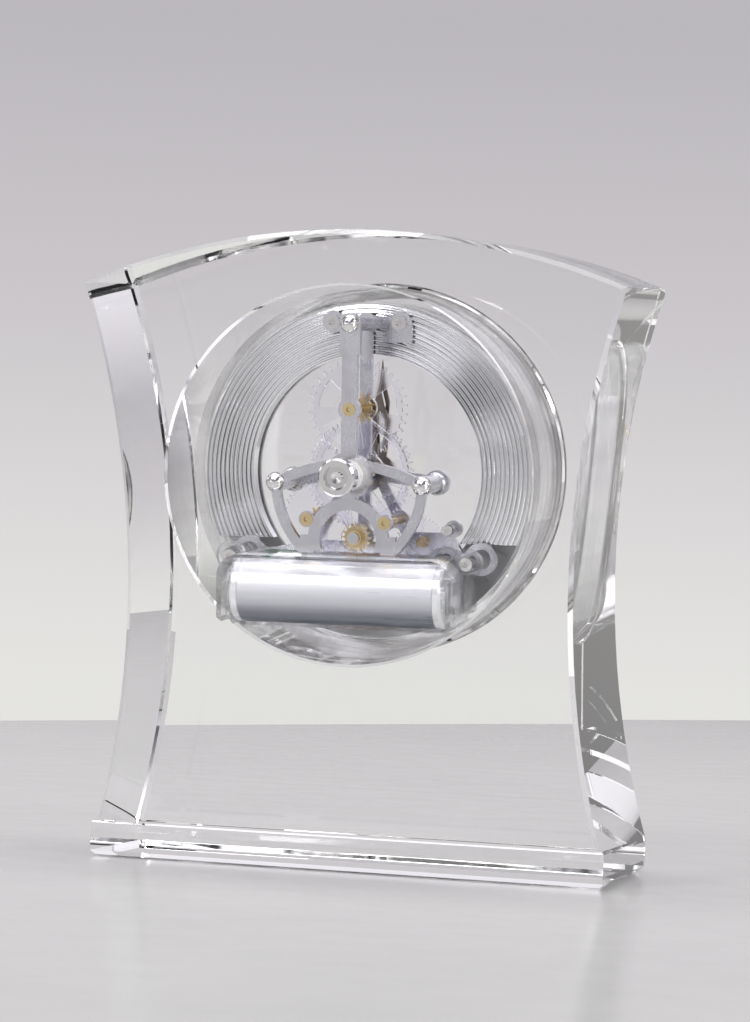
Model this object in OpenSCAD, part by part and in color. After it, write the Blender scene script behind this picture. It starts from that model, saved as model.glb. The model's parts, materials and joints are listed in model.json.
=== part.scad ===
// Crystal block desk clock with a skeleton quartz movement.
// Millimetres, +Z up, origin on the surface under the middle of the base.
// The rear faces +Y. The block leans back, so most pieces are drawn in a leaning frame
// where "depth" is measured from the block's rear face toward the dial.

/* [Crystal block] */
// Thickness of the block from rear face to front face
block_t = 51; // [49:0.5:56]
// Half width at the waist
waist_half = 52.7; // [51:0.1:60]
// Height of the waist above the base
waist_z = 66.5; // [55:0.5:75]
// Radius of the hollow side curves
side_r = 225; // [200:5:300]
// Height of the arched top at its middle
apex_z = 148.7; // [145:0.1:155]
// Radius of the arched top
top_r = 170; // [150:5:220]
// Angle by which the block leans back
lean_angle = 6; // [4:0.5:8]
// Chamfer along the outline edges
edge_chamfer = 1; // [0.6:0.1:1.5]
// Height of the upright foot
foot_h = 7.5; // [5:0.5:10]
// Distance by which the foot stands proud of the block above it
foot_lip = 0.4; // [0.2:0.1:0.8]
// Chamfer along the base edges
base_chamfer = 1; // [0.6:0.1:1.5]
// Cut across each top corner
corner_cut = 2.5; // [1:0.5:4]
// Radial gap between the bore and the case, filled by the gasket
bore_gap = 0.7; // [0.6:0.1:1.2]
// Height of the bore's axis above the base
bore_z = 93; // [90:0.5:95]

/* [Insert case] */
// Outer radius of the clear case tube
case_r = 42.3; // [42.1:0.1:42.5]
// Wall of the case tube
case_wall = 2.8; // [2.5:0.1:3]
// Depth of the case's rear rim
case_depth = 17; // [17:0.5:18]
// Thickness of the dial flange inside the case
flange_t = 3; // [2:0.5:4]
// Thickness of the front lens
lens_t = 2; // [1.5:0.5:2.5]
// Width by which the front bezel covers the glass round the bore
bezel_lip = 1; // [0.8:0.1:5]
// Thickness of the bezel in front of the glass
bezel_t = 1.2; // [1:0.1:3]
// Length of the bezel's tube inside the bore
bezel_tube = 2; // [1.5:0.5:2.5]

/* [Dial ring] */
// Inner radius of the ribbed ring
ring_r = 27.5; // [27:0.5:29]
// Thickness of the ribbed ring
ring_t = 3; // [2:0.5:4]
// Number of ribs
rib_count = 11; // [9:1:12]
// Depth of the grooves between ribs
rib_depth = 0.7; // [0.4:0.1:1]
// Thickness of the chapter ring
chapter_t = 1.2; // [0.8:0.1:1.6]
// Thickness of an hour marker
marker_t = 0.6; // [0.4:0.1:0.8]
// Width of an hour marker
marker_w = 1.6; // [1:0.1:2]
// Length of an hour marker
marker_len = 6; // [4:0.5:7]

/* [Plates] */
// Depth of the rear plate
rear_depth = 2; // [2:0.1:2.5]
// Thickness of each plate
plate_t = 1.5; // [1.2:0.1:1.6]
// Width of the rear plate's upright arm
arm_w = 3.6; // [3:0.1:4]
// Distance of the top screw from the case's inner wall
crown_inset = 5.1; // [4.6:0.1:5.6]
// Distance of the side screws from the middle
side_screw_x = 17.3; // [17:0.1:18]
// Radius of the plate screws' shanks
screw_r = 0.8; // [0.7:0.05:0.85]
// Length of the plate screws' shanks
screw_len = 6.5; // [4:0.5:7]
// Radius of a dome screw's head
dome_r = 2.2; // [1.8:0.1:2.4]
// Radius of a side pillar
pillar_r = 2.1; // [1.8:0.1:2.2]
// Radius of the top pillar
top_pillar_r = 1.6; // [1.4:0.1:2]
// Distance of each lug screw from the middle
lug_x = 8; // [7:0.5:9]

/* [Hands and knob] */
// Radius of the centre arbor
arbor_r = 1.25; // [1.1:0.05:1.4]
// Radial clearance of shafts in their holes
run_gap = 0.05; // [0.03:0.01:0.08]
// Radius of the setting knob
knob_r = 4.3; // [4:0.1:5]
// Length of the setting knob
knob_len = 4.6; // [4:0.1:6]
// Depth of the knob's rear face, negative behind the block
knob_depth = -8; // [-9:0.1:-7.6]
// Radius of the white tube round the arbor
tube_r = 3.5; // [3:0.1:4]
// Depth of the hour hand
hour_hand_depth = 28; // [26:0.5:30]
// Length of the hour hand
hour_hand_len = 19; // [15:0.5:21]
// Length of the minute hand
minute_hand_len = 26; // [22:0.5:26.5]
// Width of the hour hand
hour_hand_w = 2.6; // [2:0.1:3]
// Width of the minute hand
minute_hand_w = 1.8; // [1.4:0.1:2.4]
// Thickness of each hand
hand_t = 0.6; // [0.4:0.1:0.8]

/* [Gears] */
// Thickness of each gear
gear_t = 0.9; // [0.7:0.1:0.9]
// Clearance between the lowest gear and the battery box, and between the highest gear and the front plate
level_gap = 0.6; // [0.5:0.05:0.6]
// Radius of the slim arbors
pin_r = 0.5; // [0.4:0.05:0.55]
// Tooth width as a share of the tooth pitch
tooth_share = 0.36; // [0.3:0.01:0.4]

/* [Battery box] */
// Radius of the AA cell
cell_r = 7.25; // [7:0.05:7.25]
// Length of the AA cell's can
cell_len = 49.5; // [48.5:0.1:49.5]
// Depth of the cell's axis, negative behind the block
cell_depth = -2; // [-2.5:0.1:-2]
// Height of the cell's axis relative to the bore's axis
cell_z = -26.4; // [-26.6:0.1:-26.2]
// Clearance round the cell
cell_gap = 0.35; // [0.3:0.05:0.4]
// Wall of the box
box_wall = 1; // [0.8:0.1:1.2]
// Angle below level at which the cell comes out
exit_angle = 27; // [26:1:30]

/* [Hidden] */

$fn = 96;
cut = 1;
half_t = block_t / 2;
seat_gap = 0.02;
tube_neck_r = tube_r - 0.6;
bushing_r = 1.1;
stud_r = 0.8;
collar_r = pin_r + 0.4;
sleeve_r = stud_r + 0.9;
plate_seat = rear_depth + plate_t;
front_depth = case_depth - plate_t;
flange_depth = case_depth + ring_t;
chapter_depth = flange_depth + flange_t;
lens_depth = block_t - bezel_tube - lens_t;
case_inner = case_r - case_wall;
groove_r = case_r - 0.3;
foot_x = waist_half + side_r - sqrt(pow(side_r, 2) - pow(waist_z - foot_h, 2)) + foot_lip;
foot_y = [foot_h * tan(lean_angle) - half_t / cos(lean_angle) - foot_lip,
    foot_h * tan(lean_angle) + half_t / cos(lean_angle) + foot_lip];
groove_w = (lens_depth - case_depth) * 0.27;
groove_depth = (case_depth + lens_depth - groove_w) / 2 - 1;
bore_r = case_r + bore_gap;
bezel_r = bore_r + bezel_lip;
screw_hole_r = screw_r + 0.05;
box_post_r = 2.2;
hour_tube_r = arbor_r + run_gap + 0.8;

// Places of the arbors, in the leaning frame with the bore's axis at zero.
// k spreads the layout with the case.
k = case_inner / 39.5;
top_at = k * [0, 15];
rotor_at = k * [-19.5, -20.5];
inter_at = k * [-14.4, -15.6];
first_at = k * [-8.6, -10.6];
second_at = k * [0, -14.6];
third_at = k * [9.8, -10.2];
axis_at = [0, 0];
side_at = [side_screw_x, -1.9 * k];
crown_at = [0, case_inner - crown_inset];
lug_at = [lug_x, case_inner - crown_inset + 0.4];
bridge_posts = k * [[-21.4, -12.4], [-13.5, -23.2]];

// Teeth of each pair, driver first
rotor_pair = [10, 40];
inter_pair = [8, 40];
first_pair = [8, 48];
second_pair = [16, 40];
third_pair = [10, 60];
cannon_pair = [12, 36];
hour_pair = [10, 40];

// Battery box
contact_w = 7;
contact_t = 0.35;
contact_room = 1.4;
box_half = cell_len / 2 + contact_room + 1.2;
box_rear = cell_depth - cell_r - 0.5;
box_front = cell_depth + cell_r + cell_gap + box_wall;
box_top = cell_z + cell_r + cell_gap + box_wall;
box_bottom = cell_z - cell_r - cell_gap - 0.6;
box_screw_at = [box_half + 0.65, box_top - 1.4];

// Depths of the gear levels between the plates
level_low = box_front + level_gap;
level_motor = front_depth - gear_t - level_gap;
level_step = (level_motor - level_low) / 4;
level_mid = level_low + level_step;
level_centre = level_mid + level_step;
level_hour = level_centre + level_step;
bridge_depth = level_hour - 2.2;

// Half the angle across one tooth, as shares of the pitch, and heights in modules
tip_share = 0.55;
root_share = 1.45;
tooth_top = 0.8;
tooth_foot = 1.1;

cap_depth = hour_hand_depth + 3 * hand_t + 0.5;

// Motor coil on its core
core_z = -27.5 * k;
core_w = 3.2 * k;
core_t = 1;
core_depth = level_motor - core_t;
core_from = -17 * k;
coil_from = -10 * k;
coil_to = 6 * k;
core_end = 13 * k;

function mid(a, b) = norm(b - a);
function bearing(a, b) = atan2(b[1] - a[1], b[0] - a[0]);
function pair_module(pair, a, b) = 2 * mid(a, b) / (pair[0] + pair[1]);
function arc_points(r, from, to, steps) =
    [for (i = [0:steps]) let (a = from + (to - from) * i / steps) [r * cos(a), r * sin(a)]];

module lean() {
    rotate([-lean_angle, 0, 0]) children();
}

// Middle of a top corner: where the arched top meets a side curve
function corner_point() = let (from = [waist_half + side_r, waist_z], to = [0, apex_z - top_r],
    d = mid(from, to), along = (pow(side_r, 2) - pow(top_r, 2) + d * d) / (2 * d),
    high = sqrt(pow(side_r, 2) - along * along), unit = (to - from) / d)
    from + along * unit + high * [-unit[1], unit[0]];

// Children's Z runs from the rear toward the dial, their Y runs up
module at(place, depth) {
    lean() translate([place[0], half_t - depth, bore_z + place[1]]) rotate([90, 0, 0]) children();
}

module ring(outer, inner, h) {
    difference() {
        cylinder(r = outer, h = h);
        translate([0, 0, -cut]) cylinder(r = inner, h = h + 2 * cut);
    }
}

module hole(place, r) {
    translate([place[0], place[1], -cut]) cylinder(r = r, h = 60);
}

// A straight bar between two points in a plane
module bar(a, b, w) {
    translate(a) rotate(bearing(a, b)) translate([0, -w / 2]) square([mid(a, b), w]);
}

module disc(place, r) {
    translate(place) circle(r = r);
}

// A bar that bows to its left on the way from a to b
module bowed_bar(a, b, rise, w) {
    chord = mid(a, b);
    r = chord * chord / (8 * rise) + rise / 2;
    turn = asin(chord / (2 * r));
    translate((a + b) / 2) rotate(bearing(a, b)) translate([0, rise - r]) rotate(90)
        arc_band(r + w / 2, r - w / 2, -turn, turn, 12);
}

module arc_band(outer, inner, from, to, steps = 16) {
    polygon(concat(arc_points(outer, from, to, steps), arc_points(inner, to, from, steps)));
}

function tooth_points(teeth, m, turn) = let (pitch = 360 / teeth, w = pitch * tooth_share / 2,
    root = m * (teeth / 2 - tooth_foot), tip = m * (teeth / 2 + tooth_top))
    [for (i = [0:teeth - 1]) for (k = [0:3])
        let (side = k < 2 ? -1 : 1, high = k == 1 || k == 2, a = turn + i * pitch + side * w
            * (high ? tip_share : root_share), r = high ? tip : root) [r * cos(a), r * sin(a)]];

// A toothed wheel with a round hole and, if spokes is more than zero, windows between spokes
module gear(teeth, m, turn, bore, spokes = 0, t = gear_t) {
    hub = bore + 1.4;
    rim = m * (teeth / 2 - tooth_foot) - 1.2;
    difference() {
        linear_extrude(t) difference() {
            polygon(tooth_points(teeth, m, turn));
            for (i = [0:1:spokes - 1]) {
                arc = 360 / spokes;
                rotate(i * arc + turn) arc_band(rim, hub, 14, arc - 14, 8);
            }
        }
        translate([0, 0, -cut]) cylinder(r = bore, h = t + 2 * cut);
    }
}

// Driver of a pair points a tooth at the follower, and the follower has a gap there
module driver(pair, a, b, bore, spokes = 0, t = gear_t) {
    gear(pair[0], pair_module(pair, a, b), bearing(a, b), bore, spokes, t);
}

module follower(pair, a, b, bore, spokes = 0, t = gear_t) {
    gear(pair[1], pair_module(pair, a, b), bearing(b, a) + 180 / pair[1], bore, spokes, t);
}

// ---- Crystal block ----

// A disc across the block with chamfered rims, used for the arched top
module rimmed_disc(r, c) {
    rotate([90, 0, 0]) rotate_extrude($fn = 360)
        polygon([[0, -half_t], [r - c, -half_t], [r, c - half_t], [r, half_t - c], [r - c, half_t], [0, half_t]]);
}

// The cutter of one hollow side, wider at the faces so that it leaves chamfers
module side_cutter(r, c) {
    over = c + cut;
    rotate([90, 0, 0]) rotate_extrude($fn = 360)
        polygon([[0, -half_t - cut], [r + over, -half_t - cut], [r, c - half_t], [r, half_t - c],
            [r + over, half_t + cut], [0, half_t + cut]]);
}

module corner_cutter(side) {
    corner = corner_point();
    translate([side * corner[0], 0, corner[1]]) rotate([0, 45, 0])
        cube([corner_cut * sqrt(2), block_t + 2 * cut, corner_cut * sqrt(2)], center = true);
}

// The upright foot: a plain slab with its upper and lower edges cut at 45 degrees
module foot() {
    middle = (foot_y[0] + foot_y[1]) / 2;
    depth = foot_y[1] - foot_y[0];
    difference() {
        translate([-foot_x, foot_y[0], 0]) cube([2 * foot_x, depth, foot_h + foot_lip]);
        foot_cut([2 * foot_x, depth], middle, 0, base_chamfer);
        foot_cut([2 * foot_x, depth], middle, foot_h + foot_lip, foot_lip);
    }
}

// Cuts all round a slab at one height
module foot_cut(size, middle, z, c) {
    edge = c * sqrt(2);
    for (side = [-1, 1]) {
        translate([0, middle + side * size[1] / 2, z]) rotate([45, 0, 0])
            cube([size[0] + 2 * cut, edge, edge], center = true);
        translate([side * size[0] / 2, middle, z]) rotate([0, 45, 0])
            cube([edge, size[1] + 2 * cut, edge], center = true);
    }
}

module glass_block() {
    span = waist_half + 30;
    color([0.93, 0.96, 0.98, 0.35]) union() {
        foot();
        difference() {
            intersection() {
                translate([-span, -block_t - 20, foot_h - 0.5]) cube([2 * span, 2 * block_t + 40, apex_z + 20]);
                lean() intersection() {
                    translate([-span, -half_t, -20]) cube([2 * span, block_t, apex_z + 40]);
                    translate([0, 0, apex_z - top_r]) rimmed_disc(top_r, edge_chamfer);
                }
            }
            lean() for (side = [-1, 1]) {
                translate([side * (waist_half + side_r), 0, waist_z]) side_cutter(side_r, edge_chamfer);
                corner_cutter(side);
            }
            at(axis_at, 0) bore_cutter();
        }
    }
}

module bore_cutter() {
    lip = 0.6;
    rotate_extrude() polygon([[0, -cut], [bore_r + lip + cut, -cut], [bore_r, lip],
        [bore_r, block_t - lip], [bore_r + lip + cut, block_t + cut], [0, block_t + cut]]);
}

// ---- Insert case and dial ----

module case_ring() {
    rest = lens_depth - case_depth;
    color([0.85, 0.88, 0.9, 0.4]) difference() {
        union() {
            at(axis_at, case_depth) ring(case_r, case_inner, rest);
            at(axis_at, flange_depth) ring(case_inner + 0.5, ring_r, flange_t);
        }
        at(axis_at, groove_depth) ring(case_r + cut, groove_r, groove_w);
        at(axis_at, case_depth) for (side = [-1, 1]) hole([side * lug_at[0], lug_at[1]], screw_hole_r);
    }
}

module case_gasket() {
    color("gainsboro") at(axis_at, groove_depth + 0.2)
        ring(bore_r - 0.05, groove_r + 0.05, groove_w - 0.4);
}

module ribbed_ring() {
    outer = case_inner - 0.3;
    pitch = (outer - ring_r) / rib_count;
    color("silver") difference() {
        at(axis_at, case_depth) difference() {
            ring(outer, ring_r, ring_t);
            for (i = [0:rib_count - 1]) {
                r = ring_r + (i + 0.5) * pitch;
                rotate_extrude() polygon([[r - pitch * 0.36, -0.01], [r + pitch * 0.36, -0.01],
                    [r + pitch * 0.1, rib_depth], [r - pitch * 0.1, rib_depth]]);
            }
            translate([-50, -80, -cut]) cube([100, 80 + box_screw_at[1] + 3.3, 10]);
            for (side = [-1, 1]) hole([side * lug_at[0], lug_at[1]], screw_hole_r);
        }
    }
}

module chapter_ring() {
    color("whitesmoke") at(axis_at, chapter_depth) ring(case_inner - 0.3, ring_r + 0.5, chapter_t);
}

module hour_markers() {
    color("dimgray") at(axis_at, chapter_depth + chapter_t) for (i = [0:11])
        rotate(30 * i) translate([case_inner - 2 - marker_len, -marker_w / 2, 0])
            cube([marker_len, marker_w, marker_t]);
}

module front_lens() {
    color([0.9, 0.93, 0.95, 0.3]) at(axis_at, lens_depth) cylinder(r = case_r, h = lens_t);
}

module front_bezel() {
    tube = lens_depth + lens_t;
    color("silver") at(axis_at, tube) rotate_extrude(convexity = 4)
        polygon([[case_r - 1.8, 0], [case_r, 0], [case_r, block_t - tube], [bezel_r, block_t - tube],
            [bezel_r, block_t - tube + bezel_t * 0.4], [bezel_r - bezel_t * 0.6, block_t - tube + bezel_t],
            [case_r - 1.2, block_t - tube + bezel_t], [case_r - 1.8, block_t - tube + bezel_t * 0.5]]);
}

// ---- Plates and fasteners ----

module rear_outline() {
    arch_r = 8.1 * k;
    arch_w = 2.8;
    foot = [10.8 * k, box_top + 0.8];
    translate([-arm_w / 2, 0]) square([arm_w, crown_at[1]]);
    translate([-arm_w / 2 - 0.65, crown_at[1] - 7]) square([arm_w + 1.3, 7]);
    disc(crown_at, 2.5);
    disc(top_at, 2.6);
    disc(axis_at, 5.4);
    for (side = [0, 1]) mirror([side, 0]) {
        bowed_bar(side_at, [1, 2.6], -0.9, 2.3);
        bowed_bar(side_at, foot, 1.6, 2.2);
        disc(side_at, 2.3);
        translate([foot[0] - 2.9, box_top]) square([3.4, 4]);
    }
    disc(first_at, 1.9);
    disc(third_at, 1.9);
    translate(second_at) arc_band(arch_r + arch_w / 2, arch_r - arch_w / 2, -20, 200, 24);
}

module rear_plate() {
    color("lightgray") at(axis_at, rear_depth) difference() {
        linear_extrude(plate_t) intersection() {
            rear_outline();
            translate([-40, box_top]) square([80, 80]);
        }
        hole(axis_at, tube_neck_r + seat_gap);
        for (place = [top_at, first_at, third_at]) hole(place, bushing_r + seat_gap);
        for (side = [-1, 1]) hole([side * side_at[0], side_at[1]], screw_hole_r);
        hole(crown_at, screw_hole_r);
    }
}

module front_outline() {
    lug_w = 2.8;
    translate([-1.4, 0]) square([2.8, crown_at[1]]);
    bar([-lug_at[0], lug_at[1]], lug_at, lug_w);
    for (side = [-1, 1]) disc([side * lug_at[0], lug_at[1]], lug_w - 0.2);
    disc(crown_at, lug_w - 0.2);
    translate([-lug_at[0] - 2.8, lug_at[1] - 4.6]) square([6, 4]);
    disc(axis_at, 4.6);
    disc(top_at, 2.6);
    for (side = [-1, 1]) {
        bar([0, 0], [side * side_at[0], side_at[1]], 3);
        disc([side * side_at[0], side_at[1]], 2.9);
        bar([side * 3, 0], k * [side * 12, -17], 2.4);
        disc([side * box_screw_at[0], box_screw_at[1]], 3.8);
        bar(k * [side * 20, -20.1], [side * box_screw_at[0], box_screw_at[1]], 3.4);
    }
    disc(first_at, 2.2);
    disc(third_at, 2.2);
    disc(second_at, 2.4);
    translate([-1.4, -16 * k]) square([2.8, 16 * k]);
    disc(bridge_posts[0], 2);
    polygon(k * [[-24, -26], [-17, -34], [17, -34], [24, -26], [24, -18.4], [12, -16],
        [-10, -16], [-10, -13.4], [-21, -13.4], [-24, -18.4]]);
}

module front_plate() {
    color("silver") at(axis_at, front_depth) difference() {
        linear_extrude(plate_t) front_outline();
        hole(axis_at, hour_tube_r + run_gap);
        for (place = [top_at, first_at, third_at, inter_at, rotor_at]) hole(place, bushing_r + seat_gap);
        hole(second_at, stud_r + seat_gap);
        for (side = [-1, 1]) {
            hole([side * side_at[0], side_at[1]], screw_hole_r);
            hole([side * lug_at[0], lug_at[1]], screw_hole_r);
            hole([side * box_screw_at[0], box_screw_at[1]], box_post_r + 0.1);
        }
        hole(crown_at, screw_hole_r);
    }
}

module top_pillar() {
    color("silver") at(crown_at, plate_seat) difference() {
        cylinder(r = top_pillar_r, h = front_depth - plate_seat);
        translate([0, 0, -cut]) cylinder(r = screw_hole_r, h = screw_len - plate_t + 1 + cut);
    }
}

module side_pillars() {
    h = front_depth - plate_seat;
    color("silver") for (side = [-1, 1]) at([side * side_at[0], side_at[1]], plate_seat) difference() {
        rotate_extrude() polygon([[0, 0], [pillar_r, 0], [pillar_r, h - 2.4], [pillar_r + 0.4, h - 2],
            [pillar_r + 0.4, h], [0, h]]);
        translate([0, 0, -cut]) cylinder(r = screw_hole_r, h = screw_len - plate_t + 1 + cut);
    }
}

// A round-headed screw with its head above the surface at depth zero
module dome_screw(r, high, shank_r, shank) {
    steps = 12;
    rotate_extrude() polygon(concat([[0, shank], [shank_r, shank], [shank_r, 0]],
        [for (i = [0:steps]) let (a = 90 * i / steps) [r * cos(a), -high * sin(a)]]));
}

module dome_screws() {
    color("gainsboro") for (place = [crown_at, side_at, [-side_at[0], side_at[1]]])
        at(place, rear_depth) dome_screw(dome_r, dome_r * 0.9, screw_r, screw_len);
}

// A flat-headed screw with a round socket
module cap_screw(r, high, shank_r, shank) {
    difference() {
        union() {
            translate([0, 0, -high]) cylinder(r = r, h = high);
            cylinder(r = shank_r, h = shank);
        }
        translate([0, 0, -high - cut]) cylinder(r = r * 0.5, h = cut + high * 0.6);
    }
}

module lug_screws() {
    color("gainsboro") for (side = [-1, 1])
        at([side * lug_at[0], lug_at[1]], front_depth) cap_screw(1.7, 1.1, screw_r, plate_t + ring_t + 2);
}

module bushing(flange, t) {
    difference() {
        union() {
            translate([0, 0, -0.3]) cylinder(r = flange, h = 0.3);
            cylinder(r = bushing_r, h = t);
        }
        translate([0, 0, -cut]) cylinder(r = pin_r + run_gap, h = t + 2 * cut);
    }
}

module rear_bushings() {
    color("goldenrod") for (place = [top_at, first_at, third_at])
        at(place, rear_depth) bushing(1.5, plate_t);
}

module front_bushings() {
    color("goldenrod") for (place = [top_at, first_at, third_at, inter_at, rotor_at])
        at(place, front_depth) translate([0, 0, plate_t]) mirror([0, 0, 1]) bushing(1.5, plate_t);
}

module arbor_tube() {
    rear_end = knob_depth + knob_len + 0.4;
    front_end = level_mid - 0.3;
    color("ivory") difference() {
        union() {
            at(axis_at, rear_end) cylinder(r = tube_r, h = rear_depth - rear_end);
            at(axis_at, rear_depth) cylinder(r = tube_neck_r, h = plate_t);
            at(axis_at, plate_seat) cylinder(r = tube_r, h = front_end - plate_seat);
        }
        at(axis_at, rear_end - cut) cylinder(r = arbor_r + run_gap, h = front_end - rear_end + 2 * cut);
    }
}

// ---- Hands, setting knob and motion work ----

module minute_arbor() {
    rear_end = knob_depth + 1.6;
    color("lightsteelblue") at(axis_at, rear_end)
        cylinder(r = arbor_r, h = cap_depth + 0.9 - rear_end);
}

module setting_knob() {
    r = knob_r;
    color("gainsboro") at(axis_at, knob_depth) difference() {
        rotate_extrude() polygon([[0, 0.6], [1.3, 0.4], [1.3, 1.2], [2.4, 1.2], [2.8, 0], [r - 0.4, 0],
            [r, 0.4], [r, knob_len - 1], [r - 0.7, knob_len - 0.7], [r - 0.7, knob_len], [0, knob_len]]);
        translate([0, 0, 1.6]) cylinder(r = arbor_r + seat_gap, h = knob_len);
    }
}

module cannon_pinion() {
    color("goldenrod") at(axis_at, level_mid) driver(cannon_pair, axis_at, top_at, arbor_r + seat_gap);
}

module clutch_spring() {
    color("slategray") at(axis_at, level_mid + gear_t)
        ring(2.6, arbor_r + seat_gap, level_centre - level_mid - gear_t - 0.1);
}

// A skeleton hand: a ring round the axis, two thin sides and a solid tip
module hand_outline(bore, length, w) {
    ring_out = bore + 1.5;
    difference() {
        union() {
            circle(r = ring_out);
            polygon([[w / 2, 0], [w, length * 0.62], [w * 0.35, length * 0.8], [0, length],
                [-w * 0.35, length * 0.8], [-w, length * 0.62], [-w / 2, 0]]);
        }
        circle(r = bore);
        polygon([[w * 0.2, ring_out + 0.6], [w * 0.5, length * 0.6], [0, length * 0.74],
            [-w * 0.5, length * 0.6], [-w * 0.2, ring_out + 0.6]]);
    }
}

module minute_hand() {
    color("dimgray") at(axis_at, cap_depth - hand_t)
        linear_extrude(hand_t) hand_outline(arbor_r + seat_gap, minute_hand_len, minute_hand_w);
}

module hand_cap() {
    color("goldenrod") at(axis_at, cap_depth) difference() {
        cylinder(r = 2.2, h = 1.4);
        translate([0, 0, -cut]) cylinder(r = arbor_r + seat_gap, h = cut + 1);
    }
}

module hour_wheel() {
    color([0.82, 0.8, 0.93, 0.6]) {
        at(axis_at, level_hour) follower(hour_pair, top_at, axis_at, hour_tube_r - 0.2, 4);
        at(axis_at, level_hour) ring(hour_tube_r, arbor_r + run_gap,
            hour_hand_depth - level_hour + hand_t);
    }
}

module hour_hand() {
    color("dimgray") at(axis_at, hour_hand_depth)
        linear_extrude(hand_t) hand_outline(hour_tube_r + seat_gap, hour_hand_len, hour_hand_w);
}

module minute_wheel() {
    color([0.85, 0.86, 0.92, 0.5]) at(top_at, level_mid)
        follower(cannon_pair, axis_at, top_at, collar_r + seat_gap, 5);
}

// A slim arbor in the two plates with one thicker part and a pinion
module pivot_arbor(from, to, thick_from, thick_to) {
    translate([0, 0, from]) cylinder(r = pin_r, h = to - from);
    translate([0, 0, thick_from]) cylinder(r = collar_r, h = thick_to - thick_from);
}

module minute_pinion() {
    color("goldenrod") at(top_at, 0) {
        pivot_arbor(rear_depth + 0.2, case_depth, plate_seat + 0.2, front_depth - 0.2);
        translate([0, 0, level_hour]) driver(hour_pair, top_at, axis_at, pin_r);
    }
}

// ---- Motor and going train ----

module rotor_magnet() {
    color("darkslategray") at(rotor_at, level_motor - 0.2) ring(2.3, collar_r + seat_gap, 1.4);
}

module rotor_pinion() {
    color("goldenrod") at(rotor_at, 0) {
        pivot_arbor(bridge_depth + 0.2, case_depth, level_hour - 0.3, front_depth - 0.15);
        translate([0, 0, level_hour]) driver(rotor_pair, rotor_at, inter_at, pin_r);
    }
}

module inter_wheel() {
    color([0.8, 0.78, 0.95, 0.6]) at(inter_at, level_hour)
        follower(rotor_pair, rotor_at, inter_at, collar_r + seat_gap);
}

module inter_pinion() {
    color("goldenrod") at(inter_at, 0) {
        pivot_arbor(bridge_depth + 0.2, case_depth, level_hour - 0.3, front_depth - 0.15);
        translate([0, 0, level_motor]) driver(inter_pair, inter_at, first_at, pin_r);
    }
}

module first_wheel() {
    color([0.85, 0.83, 0.95, 0.6]) at(first_at, level_motor)
        follower(inter_pair, inter_at, first_at, collar_r + seat_gap);
}

module first_pinion() {
    color("goldenrod") at(first_at, 0) {
        pivot_arbor(rear_depth + 0.2, case_depth, plate_seat + 0.2, front_depth - 0.15);
        translate([0, 0, level_low]) driver(first_pair, first_at, second_at, pin_r);
    }
}

module second_stud() {
    color("silver") at(second_at, level_low - 0.9) {
        cylinder(r = 1.3, h = 0.7);
        cylinder(r = stud_r, h = case_depth - level_low + 0.9);
        translate([0, 0, level_mid + gear_t + 0.3 - level_low + 0.9])
            cylinder(r = 1.5, h = front_depth - level_mid - gear_t - 0.3);
    }
}

module second_wheel() {
    color([0.83, 0.8, 0.94, 0.6]) at(second_at, level_low)
        follower(first_pair, first_at, second_at, sleeve_r + seat_gap, 4);
}

module second_pinion() {
    color("goldenrod") at(second_at, level_low) difference() {
        union() {
            cylinder(r = sleeve_r, h = level_mid - level_low);
            translate([0, 0, level_mid - level_low]) driver(second_pair, second_at, third_at, stud_r + run_gap);
        }
        translate([0, 0, -cut]) cylinder(r = stud_r + run_gap, h = 10);
    }
}

module third_wheel() {
    color([0.83, 0.83, 0.94, 0.6]) at(third_at, level_mid)
        follower(second_pair, second_at, third_at, collar_r + seat_gap);
}

module third_pinion() {
    color("goldenrod") at(third_at, 0) {
        pivot_arbor(rear_depth + 0.2, case_depth, plate_seat + 0.2, front_depth - 0.15);
        translate([0, 0, level_centre]) driver(third_pair, third_at, axis_at, pin_r);
    }
}

module centre_wheel() {
    color([0.82, 0.8, 0.95, 0.6]) at(axis_at, level_centre)
        follower(third_pair, third_at, axis_at, arbor_r + run_gap, 5);
}

module motor_bridge() {
    posts = bridge_posts;
    depth = bridge_depth;
    color([0.88, 0.9, 0.93, 0.5]) difference() {
        union() {
            at(axis_at, depth) linear_extrude(1) union() {
                bar(rotor_at, inter_at, 3.2);
                for (place = [rotor_at, inter_at]) disc(place, 1.9);
                for (i = [0, 1]) disc(posts[i], 1.5);
                bar(posts[0], posts[1], 2.2);
            }
            for (place = posts) at(place, depth + 1) cylinder(r = 1.3, h = front_depth - depth - 1);
        }
        for (place = [rotor_at, inter_at]) at(place, depth - cut) cylinder(r = pin_r + run_gap, h = 4);
        for (place = posts) at(place, depth - cut) cylinder(r = 0.55, h = 3 + cut);
    }
}

module bridge_screws() {
    color("gainsboro") for (place = bridge_posts)
        at(place, bridge_depth) cap_screw(1.1, 0.6, 0.5, 2.6);
}

module stator() {
    depth = level_motor - 0.05;
    low = core_z - core_w / 2;
    color("slategray") at(axis_at, depth) difference() {
        linear_extrude(front_depth - depth) {
            disc(rotor_at, 3.9);
            bar(rotor_at, [-15.2 * k, core_z], 3);
            translate([core_from, low]) square([4 * k, core_w]);
            polygon([k * [-19.5, -21.6], k * [9.5, -21.6], [9.5 * k, low], [core_end, low],
                [core_end, -18.9 * k], [core_from, -18.9 * k], k * [-19.5, -17.6]]);
        }
        hole(rotor_at, 2.7);
    }
}

module coil_core() {
    color("dimgray") at(axis_at, core_depth - 0.05) translate([core_from, core_z - core_w / 2, 0])
        cube([core_end - core_from, core_w, core_t]);
}

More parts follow.
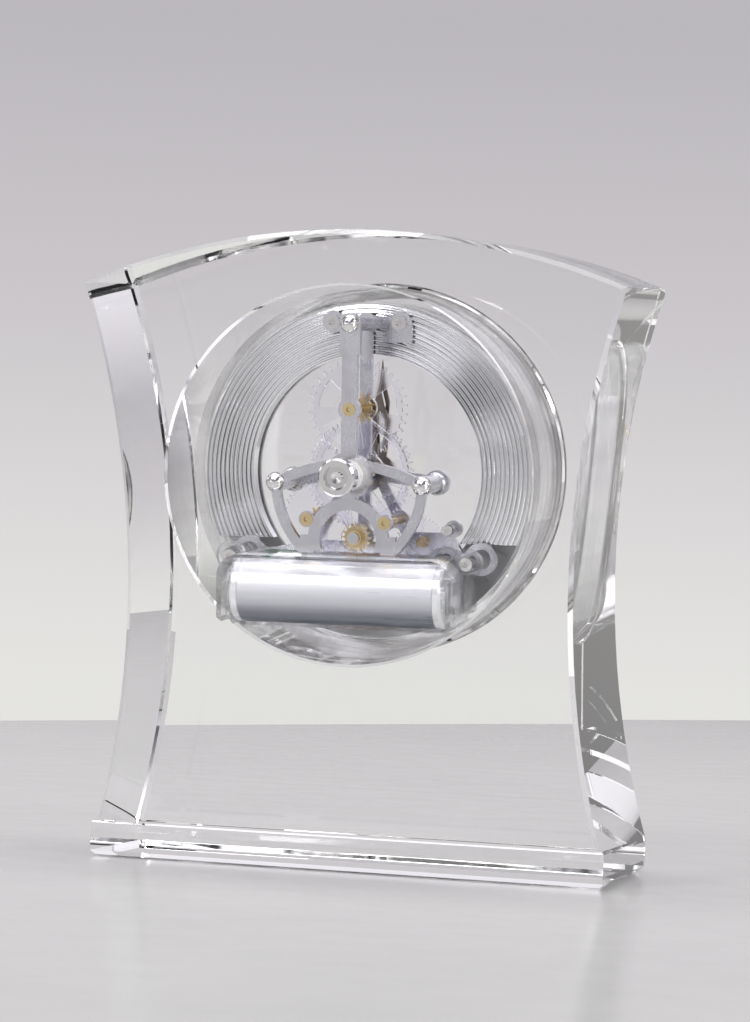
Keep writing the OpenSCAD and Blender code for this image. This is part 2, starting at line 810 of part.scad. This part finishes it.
// A round piece of the coil on the core, from x on
module coil_piece(x, r, h) {
    slot_w = core_w + 0.1;
    slot_t = core_t + 0.1;
    lean() translate([x, half_t - core_depth - core_t / 2 + 0.05, bore_z + core_z]) rotate([0, 90, 0])
        difference() {
            cylinder(r = r, h = h);
            translate([-slot_w / 2, -slot_t / 2, -cut]) cube([slot_w, slot_t, h + 2 * cut]);
        }
}

module coil_bobbin() {
    color("lightgray") for (x = [coil_from - 1, coil_to]) coil_piece(x, core_w / 2 + 0.4, 1);
}

module coil_winding() {
    color("peru") coil_piece(coil_from, core_w / 2 + 0.2, coil_to - coil_from);
}

module circuit_board() {
    color("darkgreen") at(axis_at, front_depth - 1) translate(k * [14, -26]) cube([9.6 * k, 7.4 * k, 1]);
}

module chip() {
    color("black") at(axis_at, front_depth - 2.2) translate(k * [14.8, -25.2]) cube([4 * k, 4 * k, 1.2]);
}

module quartz_can() {
    color("silver") lean() translate([14.6 * k, half_t - front_depth + 2, bore_z - 19.9 * k])
        rotate([0, 90, 0]) cylinder(r = 0.95, h = 6 * k);
}

// ---- Battery box ----

module box_shell() {
    round_r = 5;
    wide = box_half - round_r;
    tall = box_top - round_r;
    at(axis_at, box_rear) linear_extrude(box_front - box_rear) {
        translate([-box_half, box_bottom]) square([2 * box_half, tall - box_bottom]);
        translate([-wide, box_bottom]) square([2 * wide, box_top - box_bottom]);
        for (side = [-1, 1]) disc([side * wide, tall], round_r);
    }
}

// The pocket round one stretch of the cell and its way out, down and to the rear
module box_pocket(r, half) {
    slot = r - 0.06;
    lean() translate([0, half_t - cell_depth, bore_z + cell_z]) rotate([-exit_angle, 0, 0])
        translate([-half, 0, 0]) rotate([0, 90, 0]) linear_extrude(2 * half) {
            circle(r);
            translate([-slot, 0]) square([2 * slot, 30]);
        }
}

module battery_box() {
    color([0.88, 0.91, 0.93, 0.4]) difference() {
        union() {
            difference() {
                intersection() {
                    box_shell();
                    at(axis_at, box_rear - cut) cylinder(r = case_r - 0.1, h = 60);
                }
                box_pocket(cell_r + cell_gap, cell_len / 2 + 0.15);
                box_pocket(contact_w / 2 + 1.8, cell_len / 2 + contact_room);
            }
            for (side = [-1, 1]) {
                at([side * box_screw_at[0], box_screw_at[1]], rear_depth)
                    cylinder(r = 3.4, h = plate_t);
                at([side * box_screw_at[0], box_screw_at[1]], rear_depth)
                    cylinder(r = box_post_r, h = flange_depth - rear_depth);
                box_web(side);
            }
        }
        for (side = [-1, 1]) at([side * box_screw_at[0], box_screw_at[1]], rear_depth - cut)
            cylinder(r = screw_hole_r, h = screw_len + 1.5 + cut);
    }
}

module box_web(side) {
    from = side > 0 ? box_half - 1.2 : -box_half;
    at(axis_at, box_front - 0.5) intersection() {
        translate([from, -31, 0]) cube([1.2, 10, front_depth - box_front - 0.2]);
        cylinder(r = case_r - 0.3, h = 40);
    }
}

module box_screws() {
    color("gainsboro") for (side = [-1, 1])
        at([side * box_screw_at[0], box_screw_at[1]], rear_depth) cap_screw(1.5, 1, screw_r, screw_len + 0.5);
}

module contact(x) {
    lean() translate([x, half_t - cell_depth, bore_z + cell_z]) children();
}

module contact_tab() {
    translate([0, -contact_w / 2, -contact_w / 2]) cube([contact_t, contact_w, contact_w]);
}

module contact_plate() {
    color("gainsboro") contact(-cell_len / 2 - contact_room) contact_tab();
}

module contact_spring() {
    color("gainsboro") contact(cell_len / 2 + contact_room - contact_t) {
        contact_tab();
        translate([-0.75, 0, 0]) rotate([0, 90, 0]) cylinder(r1 = 1.6, r2 = 2.8, h = 0.75);
    }
}

module battery() {
    r = cell_r;
    half = cell_len / 2;
    c = 0.6;
    color("gainsboro") contact(0) rotate([0, -90, 0]) rotate_extrude()
        polygon([[0, -half], [r - c, -half], [r, c - half], [r, half - c], [r - c, half], [2.75, half],
            [2.75, half + 0.9], [0, half + 0.9]]);
}

glass_block();
case_ring();
case_gasket();
ribbed_ring();
chapter_ring();
hour_markers();
front_lens();
front_bezel();
rear_plate();
front_plate();
top_pillar();
side_pillars();
dome_screws();
lug_screws();
rear_bushings();
front_bushings();
arbor_tube();
minute_arbor();
setting_knob();
cannon_pinion();
clutch_spring();
minute_hand();
hand_cap();
hour_wheel();
hour_hand();
minute_wheel();
minute_pinion();
rotor_magnet();
rotor_pinion();
inter_wheel();
inter_pinion();
first_wheel();
first_pinion();
second_wheel();
second_pinion();
second_stud();
third_wheel();
third_pinion();
centre_wheel();
motor_bridge();
bridge_screws();
stator();
coil_core();
coil_bobbin();
coil_winding();
circuit_board();
chip();
quartz_can();
battery_box();
box_screws();
contact_plate();
contact_spring();
battery();
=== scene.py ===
import json
import math
import bmesh
import bpy
from mathutils import Matrix, Vector


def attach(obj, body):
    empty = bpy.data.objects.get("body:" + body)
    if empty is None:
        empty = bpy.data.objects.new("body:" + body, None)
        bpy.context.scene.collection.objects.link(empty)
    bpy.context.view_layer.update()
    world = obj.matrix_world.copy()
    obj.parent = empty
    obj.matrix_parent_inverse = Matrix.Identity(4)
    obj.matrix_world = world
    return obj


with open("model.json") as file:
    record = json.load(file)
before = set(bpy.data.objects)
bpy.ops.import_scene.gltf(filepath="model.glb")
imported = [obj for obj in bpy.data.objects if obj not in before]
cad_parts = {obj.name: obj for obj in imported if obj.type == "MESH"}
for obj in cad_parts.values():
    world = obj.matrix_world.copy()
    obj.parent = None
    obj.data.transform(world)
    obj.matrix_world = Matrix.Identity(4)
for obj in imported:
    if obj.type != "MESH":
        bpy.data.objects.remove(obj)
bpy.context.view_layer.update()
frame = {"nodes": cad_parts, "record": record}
NODE = frame["nodes"]

# ---------------------------------------------------------------- frame of the leaning block
LEAN = math.radians(6)
HALF_T, BORE_Z = 0.0255, 0.093
BORE_WALL_R = 0.04305                 # just outside the bore's wall
RIB_START, RIB_STEP = 0.0275, 0.0010636
DIAL_DEPTH = 24.2                     # mm from the rear face to the front of the dial ring
CELL_X, CELL_Z, CELL_DEPTH = 0, -26.4, -2
CELL_R = 0.0072
CELL_BAND_X, CELL_SEAM_X = 0.0229, 0.02275


def at(x, z, depth):
    """A point given in mm: x and z from the bore's axis, depth from the rear face toward the dial."""
    y1, z1 = HALF_T - depth / 1000, BORE_Z + z / 1000
    c, s = math.cos(LEAN), math.sin(LEAN)
    return Vector((x / 1000, y1 * c + z1 * s, -y1 * s + z1 * c))


AXIS = (at(0, 0, -1) - at(0, 0, 0)).normalized()     # the bore's axis, toward the rear
UP = (at(0, 1, 0) - at(0, 0, 0)).normalized()
RIGHT = Vector((1, 0, 0))


# ---------------------------------------------------------------- materials
class Shader:
    """A Principled material with procedural colour, roughness and bump in object coordinates."""

    def __init__(self, name, **sockets):
        self.mat = bpy.data.materials.new(name)
        self.mat.use_nodes = True
        self.tree = self.mat.node_tree
        self.bsdf = self.tree.nodes["Principled BSDF"]
        for key, value in sockets.items():
            self.bsdf.inputs[key.replace("_", " ")].default_value = value
        coord = self.tree.nodes.new("ShaderNodeTexCoord")
        self.coord = coord.outputs["Object"]

    def node(self, kind, **values):
        n = self.tree.nodes.new(kind)
        for key, value in values.items():
            setattr(n, key, value)
        return n

    def link(self, a, b):
        self.tree.links.new(a, b)

    def local(self, origin=(0, 0, 0), scale=(1, 1, 1)):
        """Object coordinates turned upright into the block's own frame, from an origin in the row frame."""
        m = self.node("ShaderNodeMapping", vector_type="POINT")
        shift = Matrix.Rotation(LEAN, 3, "X") @ Vector(origin)
        m.inputs["Rotation"].default_value = (LEAN, 0, 0)
        m.inputs["Location"].default_value = tuple(-c for c in shift)
        self.link(self.coord, m.inputs["Vector"])
        if scale == (1, 1, 1):
            return m.outputs["Vector"]
        k = self.node("ShaderNodeMapping", vector_type="POINT")
        k.inputs["Scale"].default_value = scale
        self.link(m.outputs["Vector"], k.inputs["Vector"])
        return k.outputs["Vector"]

    def noise(self, scale, detail=3.0, vector=None):
        n = self.node("ShaderNodeTexNoise")
        n.inputs["Scale"].default_value = scale
        n.inputs["Detail"].default_value = detail
        n.inputs["Roughness"].default_value = 0.5
        self.link(vector or self.coord, n.inputs["Vector"])
        return n.outputs["Fac"]

    def math(self, op, a, b=0.0):
        n = self.node("ShaderNodeMath", operation=op)
        for i, v in enumerate((a, b)):
            if isinstance(v, bpy.types.NodeSocket):
                self.link(v, n.inputs[i])
            else:
                n.inputs[i].default_value = v
        return n.outputs[0]

    def spread(self, fac, low, high, from_low=0.3, from_high=0.7):
        n = self.node("ShaderNodeMapRange")
        for key, v in (("From Min", from_low), ("From Max", from_high), ("To Min", low), ("To Max", high)):
            n.inputs[key].default_value = v
        self.link(fac, n.inputs["Value"])
        return n.outputs[0]

    def ramp(self, fac, *stops):
        n = self.node("ShaderNodeValToRGB")
        ramp = n.color_ramp
        while len(ramp.elements) < len(stops):
            ramp.elements.new(1.0)
        for e, (pos, col) in zip(ramp.elements, stops):
            e.position = pos
            e.color = (*col, 1) if len(col) == 3 else col
        self.link(fac, n.inputs["Fac"])
        return n.outputs["Color"]

    def mix(self, fac, a, b):
        n = self.node("ShaderNodeMix", data_type="RGBA")
        for i, v in ((0, fac), (6, a), (7, b)):
            if isinstance(v, bpy.types.NodeSocket):
                self.link(v, n.inputs[i])
            elif i == 0:
                n.inputs[i].default_value = v
            else:
                n.inputs[i].default_value = (*v, 1)
        return n.outputs[2]

    def put(self, socket, key):
        self.link(socket, self.bsdf.inputs[key])

    def bump(self, height, strength=0.2, distance=0.0002):
        n = self.node("ShaderNodeBump")
        n.inputs["Strength"].default_value = strength
        n.inputs["Distance"].default_value = distance
        self.link(height, n.inputs["Height"])
        self.put(n.outputs["Normal"], "Normal")


def wear(s, low=0.46, high=0.56):
    """0 on flats to 1 on sharp outside edges."""
    g = s.node("ShaderNodeNewGeometry")
    return s.spread(g.outputs["Pointiness"], 0.0, 1.0, low + 0.05, high)


def metal(name, colour, rough, grain=None, bump=0.08, dark=0.82, edge=1.1, bump_scale=2500):
    s = Shader(name, Metallic=1.0)
    cloud = s.noise(90, 4)
    low = tuple(c * dark for c in colour)
    tone = s.ramp(cloud, (0.3, low), (0.7, colour))
    tone = s.mix(wear(s), tone, tuple(min(1.0, c * edge) for c in colour))
    s.put(tone, "Base Color")
    fine = s.noise(bump_scale, 2, grain(s) if grain else None)
    smear = s.noise(220, 3)
    s.put(s.math("ADD", s.spread(smear, rough * 0.7, rough * 1.25), s.spread(fine, -0.02, 0.03)), "Roughness")
    s.bump(fine, bump, 0.00005)
    return s.mat


def brushed(axis):
    """Coordinates stretched along one direction of the block's frame, for a brushed grain."""
    scale = {"x": (0.02, 1, 1), "z": (1, 1, 0.02)}[axis]
    return lambda s: s.local(scale=scale)


def ring_steps(s, pitch):
    """Distance from the bore's axis over the pitch, in the block's frame."""
    v = s.local(origin=at(0, 0, 0))
    sep = s.node("ShaderNodeSeparateXYZ")
    s.link(v, sep.inputs[0])
    x2 = s.math("MULTIPLY", sep.outputs["X"], sep.outputs["X"])
    z2 = s.math("MULTIPLY", sep.outputs["Z"], sep.outputs["Z"])
    r = s.math("SQRT", s.math("ADD", x2, z2))
    return s.math("MULTIPLY", r, 1 / pitch)


def clear(name, colour, ior, rough=0.01, bore=1.0, alpha=1.0, bump=0.02, tint=0.97, scale=160):
    s = Shader(name, IOR=ior)
    s.bsdf.inputs["Transmission Weight"].default_value = 1.0
    cloud = s.noise(40, 2)
    s.put(s.ramp(cloud, (0.3, tuple(c * tint for c in colour)), (0.7, colour)), "Base Color")
    film = s.noise(scale, 4)
    edges = s.math("MULTIPLY", wear(s), rough * 2)
    s.put(s.math("ADD", s.spread(film, rough * 0.3, rough), edges), "Roughness")
    s.bsdf.inputs["Alpha"].default_value = alpha
    if bore < 1.0:
        # the soft band fills the gap at the bore's wall, so that wall bends the light very little
        inside = s.math("LESS_THAN", ring_steps(s, 1.0), BORE_WALL_R)
        sep = s.node("ShaderNodeSeparateXYZ")
        s.link(s.local(origin=at(0, 0, 0)), sep.inputs[0])
        inside = s.math("MULTIPLY", inside, s.spread(sep.outputs["Z"], 0.25, 1.0, -0.036, -0.02))
        s.put(s.math("SUBTRACT", 1.0, s.math("MULTIPLY", inside, 1.0 - bore)), "Alpha")
    s.bump(s.noise(scale * 0.35, 1), bump, 0.0001)
    return s.mat


def lathe_turned(name, colour, rough, pitch=0.00022, bump=0.25, dark=0.8, ribs=None):
    """Metal with fine circular turning marks about the bore's axis."""
    s = Shader(name, Metallic=1.0)
    turns = s.math("SINE", s.math("MULTIPLY", ring_steps(s, pitch), 2 * math.pi))
    cloud = s.noise(70, 4)
    tone = s.ramp(cloud, (0.3, tuple(c * dark for c in colour)), (0.72, colour))
    s.put(tone, "Base Color")
    smear = s.spread(s.noise(260, 3), rough * 0.75, rough * 1.2)
    s.put(s.math("ADD", smear, s.math("MULTIPLY", turns, 0.02)), "Roughness")
    height = s.math("ADD", turns, s.noise(1200, 2))
    if ribs:
        # each rib is crowned between its grooves
        start, step = ribs
        phase = s.math("MULTIPLY", s.math("SUBTRACT", ring_steps(s, 1.0), start), 2 * math.pi / step)
        crown = s.math("MULTIPLY", s.math("COSINE", phase), 2.2)
        height = s.math("ADD", s.math("MULTIPLY", height, bump), crown)
    s.bump(height, 1.0 if ribs else bump, 0.00003)
    return s.mat


def plastic(name, colour, rough=0.4, dark=0.85, bump=0.1, coat=0.0, scale=900):
    s = Shader(name)
    s.bsdf.inputs["Coat Weight"].default_value = coat
    tone = s.ramp(s.noise(60, 4), (0.3, tuple(c * dark for c in colour)), (0.7, colour))
    s.put(s.mix(wear(s), tone, tuple(min(1, c * 1.15 + 0.02) for c in colour)), "Base Color")
    s.put(s.spread(s.noise(300, 3), rough * 0.8, rough * 1.2), "Roughness")
    s.bump(s.noise(scale, 3), bump, 0.00006)
    return s.mat


def cell_film():
    """Satin silver film on the cell: brushed along its length, brighter bands at both ends, a lap seam, and
    painted shade that darkens its underside.
    """
    s = Shader("cell_film", Metallic=0.4)
    v = s.local(origin=at(CELL_X, CELL_Z, CELL_DEPTH))
    sep = s.node("ShaderNodeSeparateXYZ")
    s.link(v, sep.inputs[0])
    side = s.math("ABSOLUTE", sep.outputs["X"])
    band = s.math("GREATER_THAN", side, CELL_BAND_X)
    seam = s.math("SUBTRACT", s.math("GREATER_THAN", side, CELL_SEAM_X), band)
    grain = s.noise(700, 3, s.local(scale=(0.03, 1, 1)))
    body = s.ramp(grain, (0.3, (0.84, 0.85, 0.90)), (0.7, (0.93, 0.935, 0.965)))
    # painted shade: by the cell's height the film colour is mixed toward a dark slate, darkest at the bottom
    # and full film colour on top
    painted_shade = s.ramp(s.spread(sep.outputs["Z"], 0, 1, -CELL_R, CELL_R),
                   (0.0, (0.05, 0.05, 0.05)), (0.14, (0.22, 0.22, 0.22)), (0.38, (0.62, 0.62, 0.62)),
                   (0.6, (0.95, 0.95, 0.95)), (0.85, (1, 1, 1)))
    body = s.mix(painted_shade, (0.07, 0.085, 0.13), body)
    tone = s.mix(band, body, (0.90, 0.91, 0.93))
    tone = s.mix(seam, tone, (0.38, 0.39, 0.43))
    s.put(tone, "Base Color")
    s.put(s.math("ADD", s.spread(grain, 0.26, 0.36), s.math("MULTIPLY", band, -0.08)), "Roughness")
    s.bump(grain, 0.06, 0.00004)
    return s.mat


def winding():
    """Enamelled wire wound in close turns along the coil."""
    s = Shader("copper_wire", Metallic=0.9)
    sep = s.node("ShaderNodeSeparateXYZ")
    s.link(s.local(), sep.inputs[0])
    turns = s.math("SINE", s.math("MULTIPLY", sep.outputs["X"], 2 * math.pi / 0.00016))
    tone = s.ramp(s.spread(turns, 0, 1, -1, 1), (0.0, (0.30, 0.11, 0.04)), (0.6, (0.76, 0.36, 0.17)))
    s.put(tone, "Base Color")
    s.put(s.spread(s.noise(500, 2), 0.22, 0.38), "Roughness")
    s.bump(turns, 0.5, 0.00004)
    return s.mat


def board():
    """Solder mask with faint copper tracks showing through."""
    s = Shader("board_green")
    s.bsdf.inputs["Coat Weight"].default_value = 0.3
    tracks = s.node("ShaderNodeTexWave", wave_type="BANDS", bands_direction="X")
    tracks.inputs["Scale"].default_value = 240
    tracks.inputs["Distortion"].default_value = 1.5
    s.link(s.local(), tracks.inputs["Vector"])
    tone = s.ramp(tracks.outputs["Fac"], (0.42, (0.02, 0.12, 0.06)), (0.55, (0.06, 0.24, 0.12)))
    s.put(tone, "Base Color")
    s.put(s.spread(s.noise(400, 2), 0.3, 0.42), "Roughness")
    s.bump(tracks.outputs["Fac"], 0.2, 0.00005)
    return s.mat


MAT = {
    "crystal": clear("crystal", (0.992, 0.995, 0.995), 1.517, rough=0.004, bore=0.15, bump=0.012, tint=0.99,
                     scale=60),
    "clear_plastic": clear("clear_plastic", (0.985, 0.988, 0.992), 1.20, rough=0.02, alpha=0.6, bump=0.03,
                           tint=0.985),
    "lens": clear("lens", (0.985, 0.99, 0.995), 1.50, rough=0.004, bump=0.01),
    "gear_clear": clear("gear_clear", (0.94, 0.93, 0.985), 1.10, rough=0.05, alpha=0.7, bump=0.05, tint=0.96),
    "silver_ring": lathe_turned("silver_ring", (0.92, 0.925, 0.935), 0.09, dark=0.9, bump=0.04,
                                ribs=(RIB_START, RIB_STEP)),
    "dial_white": lathe_turned("dial_white", (0.80, 0.80, 0.81), 0.42, pitch=0.0003, bump=0.15),
    "dark_mark": plastic("dark_mark", (0.03, 0.03, 0.035), 0.35, coat=0.4),
    "chrome": metal("chrome", (0.83, 0.82, 0.81), 0.03, bump=0.01, dark=0.9),
    "satin_steel": metal("satin_steel", (0.62, 0.62, 0.655), 0.24, grain=brushed("z"), bump=0.04, dark=0.94),
    "ivory_tube": plastic("ivory_tube", (0.84, 0.83, 0.78), 0.3, coat=0.4),
    "brass": metal("brass", (0.74, 0.60, 0.34), 0.18, bump=0.05),
    "hand_black": metal("hand_black", (0.13, 0.11, 0.10), 0.3, grain=brushed("z"), bump=0.08, edge=1.8),
    "magnet": metal("magnet", (0.16, 0.165, 0.18), 0.45, bump=0.2, bump_scale=1500),
    "lamination": metal("lamination", (0.42, 0.43, 0.45), 0.38, grain=brushed("x"), bump=0.15),
    "copper": winding(),
    "bobbin": plastic("bobbin", (0.82, 0.82, 0.80), 0.4),
    "board": board(),
    "chip_black": plastic("chip_black", (0.02, 0.02, 0.022), 0.5, bump=0.2),
    "silicone": clear("silicone", (0.95, 0.96, 0.965), 1.12, rough=0.06, alpha=0.3, bump=0.05, tint=0.97),
    "cell_can": cell_film(),
}

slots = {row["node"]: row["material_slot"] for row in frame["record"]["subparts"]}
for name, obj in NODE.items():
    mesh = obj.data
    if not obj.material_slots:
        mesh.materials.append(None)
    for s in obj.material_slots:
        s.link = "OBJECT"
        s.material = MAT[slots[name]]


# ---------------------------------------------------------------- small pieces on the solids
def piece(name, body, slot, build):
    mesh = bpy.data.meshes.new(name)
    bm = bmesh.new()
    build(bm)
    bmesh.ops.recalc_face_normals(bm, faces=bm.faces)
    bm.to_mesh(mesh)
    bm.free()
    obj = bpy.data.objects.new(name, mesh)
    bpy.context.scene.collection.objects.link(obj)
    obj.data.materials.append(MAT[slot])
    mesh.shade_smooth()
    mesh.set_sharp_from_angle(angle=math.radians(32))
    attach(obj, body)
    return obj


TICK_R, TICK_LENGTH = 0.0359, 0.0016
TICK_HALF_W, TICK_HEIGHT, TICK_SINK = 0.00016, 0.00012, 0.00002


def track(bm):
    """Minute ticks on the front of the dial ring."""
    for i in range(60):
        if i % 5 == 0:
            continue
        a = math.radians(6 * i)
        along = UP * math.cos(a) + RIGHT * math.sin(a)
        across = along.cross(AXIS).normalized()
        foot = at(0, 0, DIAL_DEPTH) + along * TICK_R
        top = -AXIS * TICK_HEIGHT
        w, h = across * TICK_HALF_W, along * TICK_LENGTH
        low = [foot - w, foot + w, foot + h + w, foot + h - w]
        a0 = [bm.verts.new(p + AXIS * TICK_SINK) for p in low]
        a1 = [bm.verts.new(p + top) for p in low]
        bm.faces.new(a0)
        bm.faces.new(a1[::-1])
        for k in range(4):
            bm.faces.new((a0[k], a0[(k + 1) % 4], a1[(k + 1) % 4], a1[k]))


piece("minute_track", "case", "dark_mark", track)

# ---------------------------------------------------------------- floor, world and lights
FLOOR_X, FLOOR_Y, FLOOR_R = -3.521, 1.358, 4.305     # off centre, so that its far edge looks level
FLOOR_Z = -0.0003                                    # a hair of air lets the polished base mirror
table = bpy.data.meshes.new("floor")
bm = bmesh.new()
bmesh.ops.create_circle(bm, cap_ends=True, segments=360, radius=FLOOR_R,
                        matrix=Matrix.Translation((FLOOR_X, FLOOR_Y, FLOOR_Z)))
bm.to_mesh(table)
bm.free()
floor = bpy.data.objects.new("floor", table)
bpy.context.scene.collection.objects.link(floor)
fl = Shader("floor_pale", IOR=1.45)
fl.bsdf.inputs["Specular IOR Level"].default_value = 0.35
fl.put(fl.ramp(fl.noise(9, 3), (0.3, (0.40, 0.397, 0.393)), (0.7, (0.425, 0.42, 0.416))), "Base Color")
fl.put(fl.spread(fl.noise(60, 3), 0.16, 0.2), "Roughness")
table.materials.append(fl.mat)

world = bpy.data.worlds.new("studio")
bpy.context.scene.world = world
world.use_nodes = True
wt = world.node_tree
wt.nodes.clear()
out = wt.nodes.new("ShaderNodeOutputWorld")
coord = wt.nodes.new("ShaderNodeTexCoord")
sep = wt.nodes.new("ShaderNodeSeparateXYZ")
wt.links.new(coord.outputs["Generated"], sep.inputs[0])


def wramp(fac, *stops):
    n = wt.nodes.new("ShaderNodeValToRGB")
    while len(n.color_ramp.elements) < len(stops):
        n.color_ramp.elements.new(1.0)
    for e, (pos, col) in zip(n.color_ramp.elements, stops):
        e.position = pos
        e.color = (*col, 1)
    wt.links.new(fac, n.inputs["Fac"])
    return n.outputs["Color"]


def wmath(op, a, b=0.0):
    n = wt.nodes.new("ShaderNodeMath")
    n.operation = op
    for i, v in enumerate((a, b)):
        if isinstance(v, bpy.types.NodeSocket):
            wt.links.new(v, n.inputs[i])
        else:
            n.inputs[i].default_value = v
    return n.outputs[0]


def wmix(fac, a, b, blend="MIX"):
    n = wt.nodes.new("ShaderNodeMix")
    n.data_type = "RGBA"
    n.blend_type = blend
    for i, v in ((0, fac), (6, a), (7, b)):
        if isinstance(v, bpy.types.NodeSocket):
            wt.links.new(v, n.inputs[i])
        elif i == 0:
            n.inputs[i].default_value = v
        else:
            n.inputs[i].default_value = (*v, 1)
    return n.outputs[2]


height = wmath("ADD", wmath("MULTIPLY", sep.outputs["Z"], 0.5), 0.5)
sky = wramp(height, (0.0, (0.60, 0.60, 0.59)), (0.485, (0.78, 0.775, 0.755)), (0.50, (0.75, 0.74, 0.73)),
            (0.55, (0.60, 0.575, 0.60)), (0.60, (0.50, 0.48, 0.51)), (1.0, (0.55, 0.54, 0.56)))
# bent and mirrored rays meet the same pale tent, brighter overhead, with darker gaps between the soft boxes
side = wmath("ABSOLUTE", sep.outputs["X"])
gaps = wramp(side, (0.0, (1, 1, 1)), (0.50, (1, 1, 1)), (0.54, (0.35, 0.35, 0.36)), (0.60, (1.4, 1.4, 1.4)),
             (0.80, (1.05, 1.05, 1.05)), (0.86, (0.35, 0.35, 0.36)), (0.90, (0.1, 0.1, 0.11)),
             (0.94, (0.35, 0.35, 0.36)), (1.0, (1.1, 1.1, 1.1)))
above = wramp(height, (0.0, (1, 1, 1)), (0.60, (1, 1, 1)), (0.70, (2.2, 2.2, 2.22)), (1.0, (2.6, 2.6, 2.62)))
lit = wmix(1.0, wmix(1.0, sky, gaps, "MULTIPLY"), above, "MULTIPLY")
turn = wt.nodes.new("ShaderNodeMath")
turn.operation = "ARCTAN2"
wt.links.new(sep.outputs["Z"], turn.inputs[0])
wt.links.new(sep.outputs["X"], turn.inputs[1])
boxes = wmath("COSINE", wmath("MULTIPLY", turn.outputs[0], 4.0))
bands = wramp(wmath("ADD", wmath("MULTIPLY", boxes, 0.5), 0.5), (0.0, (0.16, 0.16, 0.17)),
              (0.40, (0.38, 0.38, 0.40)), (0.62, (1.15, 1.15, 1.18)), (1.0, (1.6, 1.6, 1.65)))
x2 = wmath("MULTIPLY", sep.outputs["X"], sep.outputs["X"])
z2 = wmath("MULTIPLY", sep.outputs["Z"], sep.outputs["Z"])
off = wmath("SQRT", wmath("ADD", x2, z2))
lens_dark = wramp(off, (0.0, (1, 1, 1)), (0.10, (1, 1, 1)), (0.18, (0, 0, 0)), (1.0, (0, 0, 0)))
bands = wmix(lens_dark, bands, (0.55, 0.55, 0.59))
rear = wramp(wmath("ADD", wmath("MULTIPLY", sep.outputs["Y"], 0.5), 0.5),
             (0.0, (0, 0, 0)), (0.5, (0, 0, 0)), (0.6, (1, 1, 1)), (1.0, (1, 1, 1)))
mirror = wmix(1.0, lit, wmix(rear, (1.0, 1.0, 1.0), bands), "MULTIPLY")
path = wt.nodes.new("ShaderNodeLightPath")
colour = wmix(path.outputs["Is Glossy Ray"], sky, mirror)
colour = wmix(path.outputs["Is Transmission Ray"], colour, lit)
colour = wmix(path.outputs["Is Diffuse Ray"], colour, (0.5, 0.5, 0.51))
bg = wt.nodes.new("ShaderNodeBackground")
wt.links.new(colour, bg.inputs["Color"])
wt.links.new(bg.outputs[0], out.inputs["Surface"])


def area(name, where, aim, size, power, colour=(1, 1, 1)):
    data = bpy.data.lights.new(name, "AREA")
    data.shape = "RECTANGLE"
    data.size, data.size_y = size
    data.energy = power
    data.color = colour
    lamp = bpy.data.objects.new(name, data)
    lamp.location = where
    lamp.rotation_mode = "QUATERNION"
    lamp.rotation_quaternion = (Vector(aim) - Vector(where)).to_track_quat("-Z", "Y")
    bpy.context.scene.collection.objects.link(lamp)


area("key", (0.65, 0.95, 1.0), (0, 0, 0.08), (0.45, 0.45), 10)
area("fill", (-1.1, 0.55, 0.5), (0, 0, 0.08), (0.25, 0.9), 6)
area("top", (0.0, -0.1, 1.2), (0, 0, 0.08), (1.1, 0.5), 12)

# ---------------------------------------------------------------- camera
YAW, PITCH, ROLL = 0.27504, 0.03212, 0.04110
EYE = (-0.1787, 0.6427, 0.06185)
look = Vector((math.sin(YAW) * math.cos(PITCH), -math.cos(YAW) * math.cos(PITCH), math.sin(PITCH)))
right = look.cross(Vector((0, 0, 1))).normalized()
up = right.cross(look)
right, up = (right * math.cos(ROLL) + up * math.sin(ROLL), up * math.cos(ROLL) - right * math.sin(ROLL))
cam_data = bpy.data.cameras.new("camera")
cam_data.lens = 98.63
cam_data.sensor_width = 36
cam_data.clip_start = 0.01
camera = bpy.data.objects.new("camera", cam_data)
camera.matrix_world = Matrix((
    (right.x, up.x, -look.x, EYE[0]),
    (right.y, up.y, -look.y, EYE[1]),
    (right.z, up.z, -look.z, EYE[2]),
    (0, 0, 0, 1)))
bpy.context.scene.collection.objects.link(camera)
bpy.context.scene.camera = camera
bpy.context.scene.view_settings.view_transform = "Standard"
